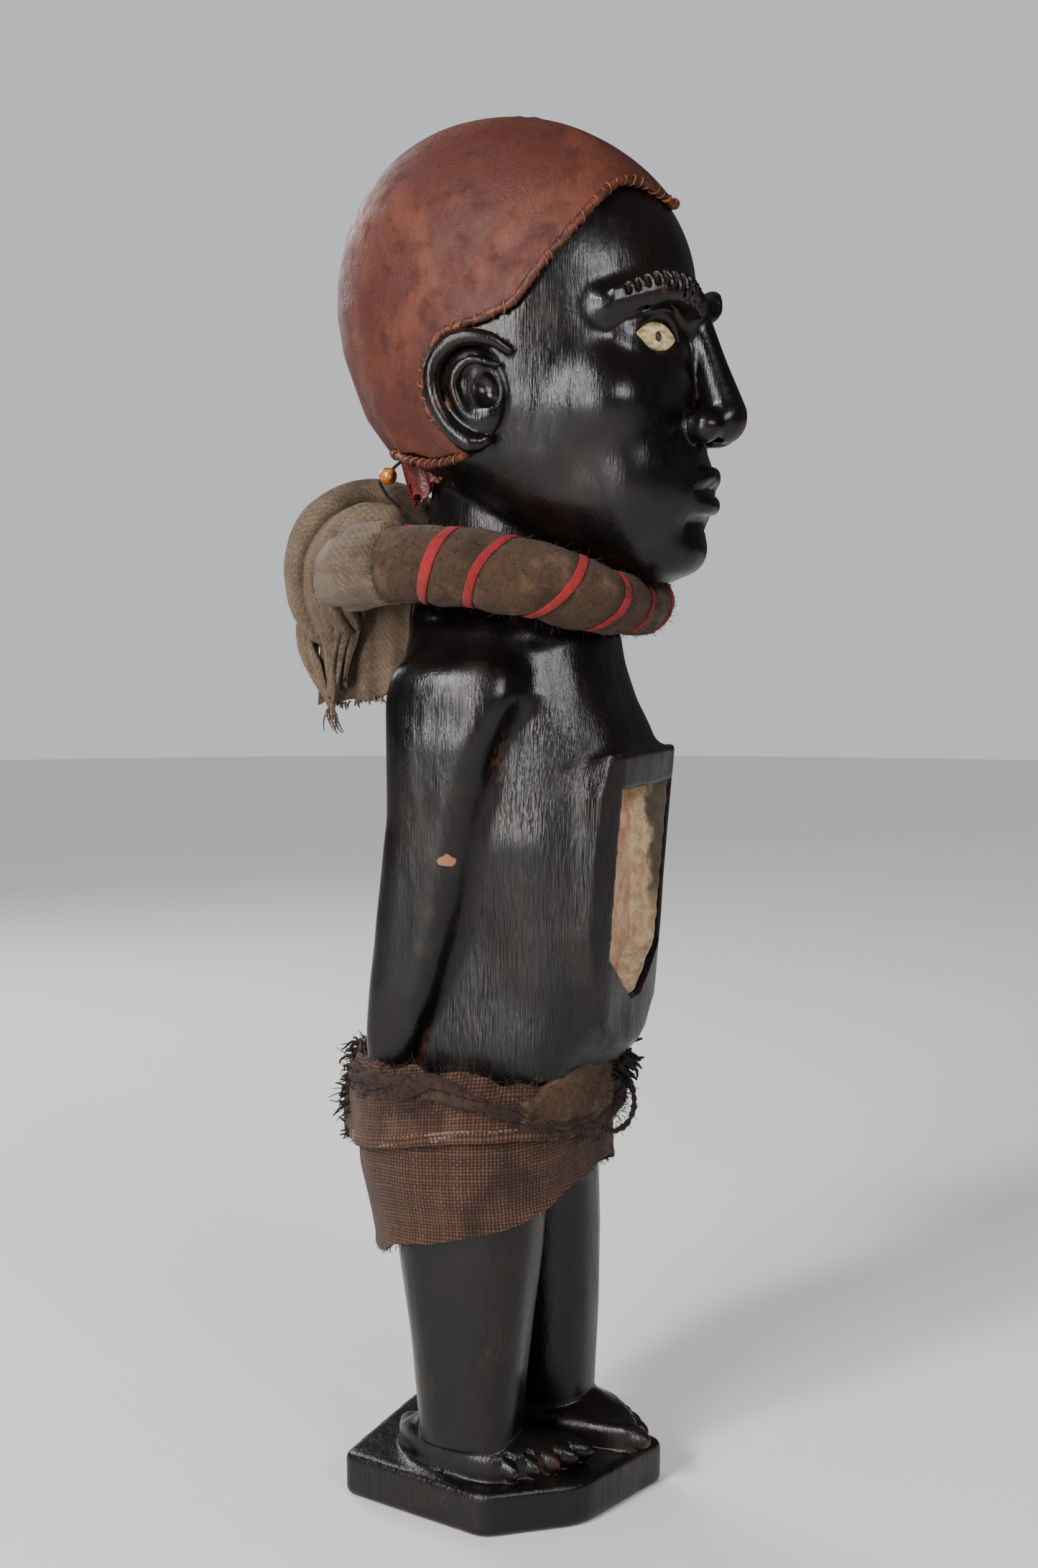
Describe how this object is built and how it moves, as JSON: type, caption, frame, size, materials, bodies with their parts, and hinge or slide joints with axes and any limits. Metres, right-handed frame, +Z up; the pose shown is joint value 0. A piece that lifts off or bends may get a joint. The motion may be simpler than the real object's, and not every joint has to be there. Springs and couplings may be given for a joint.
{
  "type": "carved ancestor figure",
  "caption": "Standing blackened-wood ancestor figure on its own plinth, with a relic box in the belly, laced hide cap, bound cloth collar and wrapped woven loincloth.",
  "frame": {"origin": "on the plinth's underside, below the figure's axis", "axes": "+Z up the figure, the figure faces -Y, and its own left side is +X"},
  "size_m": [0.112, 0.144, 0.45],
  "materials": {
    "blackened_wood": "rubbed and oiled, near black, satin to glossy, reddish where worn",
    "white_clay": "dry cream clay wash, stained",
    "dark_resin": "dark brown gum",
    "shell_inlay": "ivory-coloured shell, worn",
    "cap_hide": "rust-red dyed hide, matte, mottled",
    "hem_hide": "dark rolled hide",
    "orange_lacing": "thin orange-brown thong",
    "red_hide": "dark red, slightly glossy",
    "amber_bead": "amber-coloured",
    "fibre_stuffing": "twisted plant fibre",
    "collar_felt": "brown woollen cloth, flecked",
    "red_yarn": "bright red yarn",
    "scarf_twill": "grey-brown twill",
    "loincloth_weave": "coarse dark brown plain weave",
    "pale_thread": "pale edge threads",
    "belt_rag": "twisted dark rag, felted",
    "patch_felt": "paler felted wool",
    "dark_yarn": "near-black yarn"
  },
  "bodies": {
    "root": {"carved_figure": "blackened_wood", "cavity_lining": "white_clay", "eye_resin_right": "dark_resin", "eye_resin_left": "dark_resin", "eye_inlay_right": "shell_inlay", "eye_inlay_left": "shell_inlay", "pupil_pin_right": "dark_resin", "pupil_pin_left": "dark_resin", "cap_hide": "cap_hide", "cap_hem_roll": "hem_hide", "cap_lacing": "orange_lacing", "cap_back_welt": "hem_hide", "nape_pleats": "red_hide", "nape_bead": "amber_bead", "collar_core": "fibre_stuffing", "collar_cover": "collar_felt", "collar_binding": "red_yarn", "nape_scarf_loop": "scarf_twill", "nape_scarf_tails": "scarf_twill", "nape_scarf_fringe": "scarf_twill", "hide_packet_tip": "red_hide", "loincloth_skirt": "loincloth_weave", "loincloth_fold": "loincloth_weave", "selvedge_threads": "pale_thread", "twisted_belt": "belt_rag", "felt_patch": "patch_felt", "yarn_tassel": "dark_yarn", "yarn_loop": "dark_yarn", "frayed_edge": "dark_yarn"}
  },
  "joints": []
}
